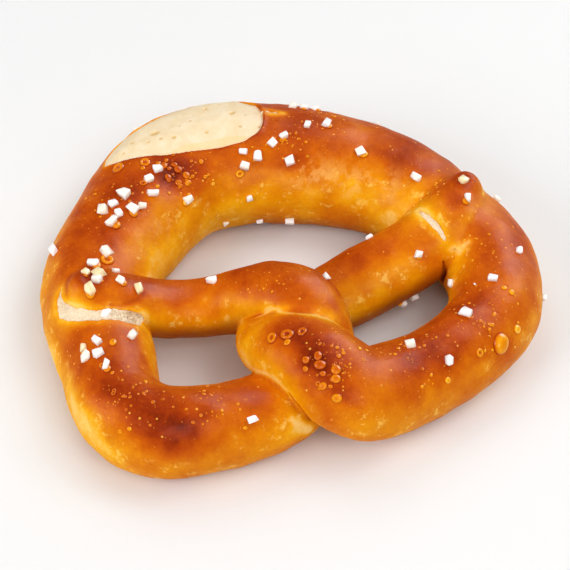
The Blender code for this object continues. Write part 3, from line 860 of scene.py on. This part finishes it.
def add_bubble(heap, tree, place, normal, bake, width, profile, rng):
    """A blister of thin crust over the surface, as rings that follow its profile."""
    first, second = axes_on(normal, rng.uniform(0, 2 * math.pi))
    stretch = rng.uniform(1.0, 1.25)
    sides = 20 if width > 1.6 else 10
    points, values = [], []
    for radius, height, tone in profile:
        for k in range(sides):
            angle = 2 * math.pi * k / sides
            reach = radius * width / 2
            offset = first * reach * stretch * math.cos(angle) + second * reach * math.sin(angle)
            hit = tree.ray_cast(place + offset + normal * 2, -normal, 4)[0]
            foot = hit if hit else place + offset
            points.append(foot + normal * height * width / 2)
            values.append(bake + tone)
    faces = [list(range(sides))[::-1]]
    for ring in range(len(profile) - 1):
        for k in range(sides):
            a, b = ring * sides + k, ring * sides + (k + 1) % sides
            faces.append([a, b, b + sides, a + sides])
    last = (len(profile) - 1) * sides
    faces.append(list(range(last, last + sides)))
    heap.add(points, faces, values)


def on_crust(tree, point):
    """The crust's nearest place, its normal there and the face that it lies in."""
    return tree.find_nearest(Vector(point))[:3]


def scatter_salt(rope, tree):
    heap = Heap()
    rng = np.random.default_rng(8)
    for group, grains in SALT.items():
        for x, y, z, size in grains:
            place, normal, _ = on_crust(tree, (x, y, z))
            tint = 1.0 if group == "soaked" else 0.5 * rng.uniform(0, 1) ** 2
            add_grain(heap, place, normal, size, tint, rng)
    belly = rope.places["belly's left end"] + HIDDEN_FROM, rope.places["right shoulder"]
    for _ in range(HIDDEN_GRAINS):
        point = rope.point(np.array([rng.uniform(*belly)]), rng.uniform(*HIDDEN_ANGLES))[0]
        place, normal, _ = on_crust(tree, point)
        add_grain(heap, place, normal, rng.uniform(*HIDDEN_SIZES), HIDDEN_TINT, rng)
    return heap


def scatter_blisters(tree, torn_tree, face_bake):
    heap = Heap()
    rng = np.random.default_rng(12)
    for rows, profile in ((DOMES, DOME), (CRATERS, CRATER)):
        for x, y, z, width in rows:
            place, normal, face = on_crust(tree, (x, y, z))
            add_bubble(heap, tree, place, normal, face_bake[face], width, profile, rng)
    for x, y, z, size in [grain for grains in SALT.values() for grain in grains]:
        if rng.uniform() < SYRUPY:
            place, normal, _ = on_crust(tree, (x, y, z))
            place, normal, face = on_crust(tree, place + size * Vector((rng.uniform(-0.3, 0.3), -0.3, 0)))
            add_bubble(heap, tree, place, normal, face_bake[face], SYRUP_WIDTH * size, DOME, rng)
    for x, y, z, spread, count, largest in CROWDS:
        for _ in range(count):
            near = np.array((x, y, z)) + rng.normal(0, spread / 2, 3)
            place, normal, face = on_crust(tree, near)
            width = TINIEST + (largest - TINIEST) * rng.uniform(0, 1) ** MOSTLY_TINY
            torn = torn_tree.find_nearest(place, width / 2 + CRUMB_CLEARANCE)[0]
            if torn is None:
                profile = CRATER if rng.uniform() < BURST else DOME
                add_bubble(heap, tree, place, normal, face_bake[face], width, profile, rng)
    return heap


class Shader:
    """A material's nodes, with short calls for those used here."""

    def __init__(self, name):
        self.material = bpy.data.materials.new(name)
        self.material.use_nodes = True
        self.tree = self.material.node_tree
        self.surface = self.tree.nodes["Principled BSDF"]
        self.place = self.node("TexCoord").outputs["Object"]

    def put(self, socket, value):
        if isinstance(value, bpy.types.NodeSocket):
            self.tree.links.new(value, socket)
        else:
            socket.default_value = value

    def node(self, kind, inputs=(), **settings):
        made = self.tree.nodes.new("ShaderNode" + kind)
        for name, value in settings.items():
            setattr(made, name, value)
        for name, value in dict(inputs).items():
            self.put(made.inputs[name], value)
        return made

    def attribute(self, name):
        return self.node("Attribute", attribute_name=name).outputs["Fac"]

    def noise(self, size, detail=2.0, rough=0.5):
        """Noise from 0 to 1 with lumps of about size mm."""
        inputs = {"Vector": self.place, "Scale": 1 / (size * MM), "Detail": detail, "Roughness": rough}
        return self.node("TexNoise", inputs).outputs["Fac"]

    def math(self, operation, a, b=0.0, clamp=False):
        made = self.node("Math", operation=operation, use_clamp=clamp)
        self.put(made.inputs[0], a)
        self.put(made.inputs[1], b)
        return made.outputs[0]

    def span(self, value, low, high, to_low=0.0, to_high=1.0):
        inputs = {"Value": value, "From Min": low, "From Max": high, "To Min": to_low, "To Max": to_high}
        return self.node("MapRange", inputs, interpolation_type="SMOOTHSTEP").outputs["Result"]

    def ramp(self, value, stops):
        made = self.node("ValToRGB", {"Fac": value})
        stretch = made.color_ramp.elements
        while len(stretch) < len(stops):
            stretch.new(0.5)
        for element, (position, colour) in zip(stretch, stops):
            element.position = position
            element.color = (*colour, 1)
        return made.outputs["Color"]

    def mix(self, share, a, b):
        made = self.node("Mix", data_type="RGBA")
        self.put(made.inputs["Factor"], share)
        for name, value in (("A", a), ("B", b)):
            socket = [s for s in made.inputs if s.name == name and s.type == "RGBA"][0]
            self.put(socket, (*value, 1) if isinstance(value, tuple) else value)
        return [s for s in made.outputs if s.type == "RGBA"][0]

    def bump(self, height, distance):
        inputs = {"Height": height, "Distance": distance * MM, "Strength": 1.0}
        return self.node("Bump", inputs).outputs["Normal"]

    def swing(self, noise, reach):
        """The noise as a change that is 0 in the middle, over the reach given from end to end."""
        inputs = {0: noise, 1: reach, 2: -reach / 2}
        return self.node("Math", inputs, operation="MULTIPLY_ADD").outputs[0]

    def set_surface(self, values):
        """Links or sets the surface's own sockets, by name."""
        for name, value in values.items():
            self.put(self.surface.inputs[name], value)


# The crust's colours as it bakes, from the pale dough in a crease to the darkest blistered top. The painted
# shade that is added to the crust's tone is shown with the same colours.
CRUST_COLOURS = (
    (0.00, (0.97, 0.58, 0.12)),
    (0.12, (0.92, 0.42, 0.006)),
    (0.27, (0.82, 0.29, 0.001)),
    (0.43, (0.71, 0.192, 0.001)),
    (0.58, (0.60, 0.113, 0.001)),
    (0.74, (0.45, 0.058, 0.001)),
    (0.88, (0.30, 0.028, 0.001)),
    (1.00, (0.16, 0.013, 0.001)),
)
FLECK = (0.99, 0.62, 0.11)
PATCH = (0.93, 0.50, 0.13)
SPECK = (0.95, 0.42, 0.05)
STRETCHED = (0.97, 0.66, 0.28)
# Painted shade: the dark mustard of the undersides over the holes.
UNDERSIDE_SHADE = (0.34, 0.082, 0.001)
CRUMB_COLOURS = ((0.85, 0.65, 0.38), (0.89, 0.73, 0.49))
CRUMB_WARM = (0.96, 0.62, 0.25)
# Painted shade in the crumb's large pores.
CRUMB_PORE_SHADE = (0.68, 0.40, 0.10)
CRUMB_TORN = (0.88, 0.75, 0.56)
# Painted shade in the torn crumb's open cells and small holes.
CRUMB_HOLE_SHADE = (0.62, 0.40, 0.17)
SALT_COLOURS = ((0.98, 0.965, 0.94), (0.995, 0.985, 0.965))
SALT_SOAKED = (0.95, 0.74, 0.42)
FLOOR_COLOURS = ((0.81, 0.81, 0.81), (0.82, 0.82, 0.82))


def dots(shader, cell, largest, seed):
    """Round dots, one at most in each cell of the size given, and how much of one covers a point."""
    shifted = shader.node("VectorMath", {0: shader.place, 1: (seed, seed, seed)}, operation="ADD")
    inputs = {"Vector": shifted.outputs[0], "Scale": 1 / (cell * MM)}
    cells = shader.node("TexVoronoi", inputs, feature="F1")
    chance = shader.node("SeparateColor", {"Color": cells.outputs["Color"]}).outputs["Red"]
    radius = shader.span(chance, 0.35, 1.0, 0.0, largest / cell)
    inside = shader.math("SUBTRACT", radius, cells.outputs["Distance"])
    return shader.span(inside, 0.0, 0.15 / cell)


def crust_material():
    shader = Shader("crust")
    # The tone from the vertices, painted shade included.
    bake = shader.attribute("bake")
    broad = shader.swing(shader.noise(6, 4, 0.6), 0.34)
    fine = shader.swing(shader.noise(1.3, 5, 0.7), 0.24)
    tone = shader.math("ADD", shader.math("ADD", bake, broad), fine, clamp=True)
    colour = shader.ramp(tone, CRUST_COLOURS)
    pale = shader.span(shader.noise(3.6, 5, 0.7), 0.55, 0.66)
    pale = shader.math("MULTIPLY", pale, shader.span(bake, 0.52, 0.32, 0.0, 0.65))
    colour = shader.mix(pale, colour, FLECK)
    patches = shader.math("MULTIPLY", shader.span(shader.noise(5, 5, 0.72), 0.46, 0.58), 0.6)
    colour = shader.mix(shader.math("MULTIPLY", patches, shader.attribute("flaky")), colour, PATCH)
    large = dots(shader, 2.2, 0.45, 0.0)
    small = dots(shader, 1.1, 0.24, 0.05)
    specks = shader.math("MAXIMUM", large, small)
    speck_share = shader.math("MULTIPLY", specks, shader.span(bake, 0.35, 0.65, 0.2, 0.85))
    colour = shader.mix(speck_share, colour, SPECK)
    cream = shader.math("MULTIPLY", shader.attribute("cream"), shader.span(shader.noise(1.6, 4), 0.35, 0.6))
    colour = shader.mix(shader.math("MULTIPLY", cream, 0.5), colour, STRETCHED)
    # Painted shade on the undersides over the holes.
    colour = shader.mix(shader.math("MULTIPLY", shader.attribute("under"), 0.85), colour, UNDERSIDE_SHADE)
    relief = shader.math("ADD", shader.math("MULTIPLY", specks, 0.5), shader.noise(1.2, 6, 0.68))
    shader.set_surface({
        "Base Color": colour,
        "Roughness": shader.span(shader.noise(3, 3), 0.3, 0.7, 0.42, 0.6),
        "Normal": shader.bump(relief, 0.26),
        "Coat Normal": shader.bump(relief, 0.13),
        "Specular IOR Level": 0.02,
        "Coat Weight": 0.13,
        "Coat IOR": 1.35,
        "Coat Roughness": 0.2,
    })
    return shader.material


def blister_material():
    shader = Shader("blister")
    mottle = shader.swing(shader.noise(1.8, 3), 0.2)
    tone = shader.math("ADD", shader.attribute("bake"), mottle, clamp=True)
    shader.set_surface({
        "Base Color": shader.ramp(tone, CRUST_COLOURS),
        "Roughness": 0.35,
        "Specular IOR Level": 0.04,
        "Coat Weight": 0.4,
        "Coat IOR": 1.4,
        "Coat Roughness": 0.12,
        "Normal": shader.bump(shader.noise(0.5, 2), 0.03),
    })
    return shader.material


def crumb_material():
    shader = Shader("crumb")
    mottle = shader.span(shader.noise(4.5, 5, 0.65), 0.35, 0.65)
    colour = shader.mix(mottle, *CRUMB_COLOURS)
    colour = shader.mix(shader.attribute("warm"), colour, CRUMB_WARM)
    # Painted shade in the large pores.
    colour = shader.mix(shader.math("MULTIPLY", shader.attribute("pore"), 0.85), colour, CRUMB_PORE_SHADE)
    torn = shader.attribute("torn")
    colour = shader.mix(shader.math("MULTIPLY", torn, 0.7), colour, CRUMB_TORN)
    small = dots(shader, 1.6, 0.26, 0.0)
    inputs = {"Vector": shader.place, "Scale": 1 / (1.1 * MM)}
    cells = shader.node("TexVoronoi", inputs, feature="DISTANCE_TO_EDGE").outputs["Distance"]
    open_cells = shader.math("MULTIPLY", shader.span(cells, 0.06, 0.30), shader.attribute("spongy"))
    holes = shader.math("MAXIMUM", shader.math("MULTIPLY", small, 0.45), open_cells)
    # Painted shade in the small holes and the torn crumb's open cells.
    colour = shader.mix(shader.math("MULTIPLY", holes, 0.85), colour, CRUMB_HOLE_SHADE)
    relief = shader.math("SUBTRACT", shader.noise(0.8, 5, 0.65), shader.math("MULTIPLY", holes, 0.9))
    shader.set_surface({
        "Base Color": colour,
        "Roughness": 0.62,
        "Specular IOR Level": 0.3,
        "Normal": shader.bump(relief, 0.25),
    })
    return shader.material


def salt_material():
    shader = Shader("salt")
    cloudy = shader.mix(shader.noise(1.2, 3, 0.6), *SALT_COLOURS)
    shader.set_surface({
        "Base Color": shader.mix(shader.attribute("tint"), cloudy, SALT_SOAKED),
        "Roughness": 0.38,
        "Subsurface Weight": 0.35,
        "Subsurface Radius": (1.0, 0.9, 0.8),
        "Subsurface Scale": 1.5 * MM,
        "Normal": shader.bump(shader.noise(0.5, 3), 0.05),
    })
    return shader.material


def build_pretzel():
    rope = Rope()
    shape, survey, score = build_loaf(rope)
    normals = normals_of(shape)
    faces = faces_of(shape)
    crumb = crumb_height(survey, score)
    smooth_tree = BVHTree.FromBMesh(shape)
    seams, cracks, folds = [
        [line_on(smooth_tree, rows) for rows in lines] for lines in (SEAMS, CRACKS, FOLDS)
    ]
    # A crack or fold sinks the crust and gets painted shade.
    crack = np.maximum(share_of(survey.points, cracks), 0.4 * share_of(survey.points, folds))
    crust_points = survey.points + crust_height(survey, crumb, crack)[:, None] * normals
    move_points(shape, crust_points)
    tree = BVHTree.FromBMesh(shape)
    # The crust's tone for each vertex, with painted shade in creases, cracks, folds and hollows; the
    # undersides over the holes get painted shade of their own.
    bake = bake_of(survey, normals, share_of(survey.points, seams), crack)
    crust = make_piece("crust", crust_points, faces, crust_material(), "crust", bake=bake,
                       cream=share_of(survey.points, seams, 0.5), under=underside_shade_of(survey, normals),
                       flaky=np.clip(mounds(survey.points, FLAKY), 0, 1))
    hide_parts("pretzel")

    torn = np.maximum(survey.score, survey.tears)
    outside = np.clip(-torn, 0, None)
    top = survey.points + (crumb - 0.7 * outside)[:, None] * normals
    bottom = top - CRUMB_THICK * normals
    points, slab, used = closed_patch(top, bottom, faces, torn > -CRUMB_HIDDEN)
    low_side = (survey.angle > 60) & (survey.score > survey.tears)
    share = score.share(survey)
    band = 3.2 * step(0.14, 0.45, share) * step(1.0, 0.7, share) + 0.3 * cloud(survey.points, 5, 42)
    warm = 0.55 * low_side * step(0.2, -0.2, survey.score - band)
    torn_open = (survey.tears > survey.score).astype(float)
    warm += torn_open * 0.3 * (0.5 + 0.5 * cloud(survey.points, 1.5, 41))
    spongy = torn_open * np.clip(0.3 + mounds(survey.points, SPONGY), 0, 1)
    # Where the crumb gets painted shade: its large pores and the torn dough's open cells.
    looks = {"warm": warm, "pore": pores_of(survey.points), "torn": torn_open, "spongy": spongy}
    looks = {name: np.tile(values[used], 2) for name, values in looks.items()}
    make_piece("crumb", points, slab, crumb_material(), "crumb", **looks)
    torn_tree = BVHTree.FromPolygons(points.tolist(), slab)

    face_bake = [bake[face[0]] for face in faces]
    blisters = scatter_blisters(tree, torn_tree, face_bake)
    make_piece("blisters", blisters.points, blisters.faces, blister_material(), "crust",
               bake=blisters.values)
    salt = scatter_salt(rope, tree)
    make_piece("salt", salt.points, salt.faces, salt_material(), "salt", tint=salt.values)


def build_floor():
    mesh = bpy.data.meshes.new("floor")
    corners = [(x * FLOOR_HALF, y * FLOOR_HALF, 0) for x, y in ((-1, -1), (1, -1), (1, 1), (-1, 1))]
    mesh.from_pydata(corners, [], [(0, 1, 2, 3)])
    floor = bpy.data.objects.new("floor", mesh)
    bpy.context.scene.collection.objects.link(floor)
    shader = Shader("floor")
    shade = shader.mix(shader.noise(400, 1), *FLOOR_COLOURS)
    shader.set_surface({"Base Color": shade, "Roughness": 0.7, "Specular IOR Level": 0.2})
    mesh.materials.append(shader.material)


def aim(item, place, target):
    item.location = place
    item.rotation_euler = (Vector(place) - Vector(target)).to_track_quat("Z", "Y").to_euler()


def softbox(name, place, size, power):
    """A square soft light that faces the pretzel."""
    lamp = bpy.data.lights.new(name, "AREA")
    lamp.size = size
    lamp.energy = power
    item = bpy.data.objects.new(name, lamp)
    bpy.context.scene.collection.objects.link(item)
    aim(item, place, (0, 0, 0))
    return item


# The lamps, where they stand, their size and power, and the boxes that only show as a sheen. The lamps were
# set one by one and revised once after a least-squares fit of trial lights.
LAMPS = (
    ("front_box", (0.2, -1.26, 1.54), 1.3, 14.0),
    ("back_box", (0.0, 0.8, 1.3), 0.8, 3.6),
    ("right_box", (0.85, -0.15, 1.36), 0.8, 7.0),
    ("left_box", (-1.15, -0.25, 0.7), 0.7, 8.0),
)
SHEENS = (
    ("right_sheen", (1.0, 0.45, 0.75), 1.0, 52.0),
    ("left_sheen", (-1.2, 0.10, 0.60), 0.6, 11.0),
    ("front_sheen", (-0.2, -1.2, 0.90), 0.6, 11.0),
)


def light_scene():
    world = bpy.data.worlds.new("studio")
    world.use_nodes = True
    background = world.node_tree.nodes["Background"].inputs
    background["Color"].default_value = (1, 1, 1, 1)
    background["Strength"].default_value = WORLD_LIGHT
    world.cycles_visibility.glossy = False
    bpy.context.scene.world = world
    for name, place, size, power in LAMPS:
        softbox(name, place, size, power).visible_glossy = False
    for name, place, size, power in SHEENS:
        softbox(name, place, size, power).visible_diffuse = False
    bpy.context.scene.view_settings.view_transform = "Standard"


def place_camera():
    lens = bpy.data.cameras.new("camera")
    lens.sensor_width = SENSOR
    lens.lens = LENS
    lens.clip_start = 0.01
    camera = bpy.data.objects.new("camera", lens)
    bpy.context.scene.collection.objects.link(camera)
    azimuth, elevation = (math.radians(angle) for angle in VIEW)
    back = np.array((
        math.sin(azimuth) * math.cos(elevation),
        -math.cos(azimuth) * math.cos(elevation),
        math.sin(elevation),
    ))
    target = (np.array(VIEW_TARGET) - FOOTPRINT_MIDDLE) * MM
    aim(camera, tuple(target + back * VIEW_DISTANCE * MM), tuple(target))
    bpy.context.scene.camera = camera


build_pretzel()
build_floor()
light_scene()
place_camera()
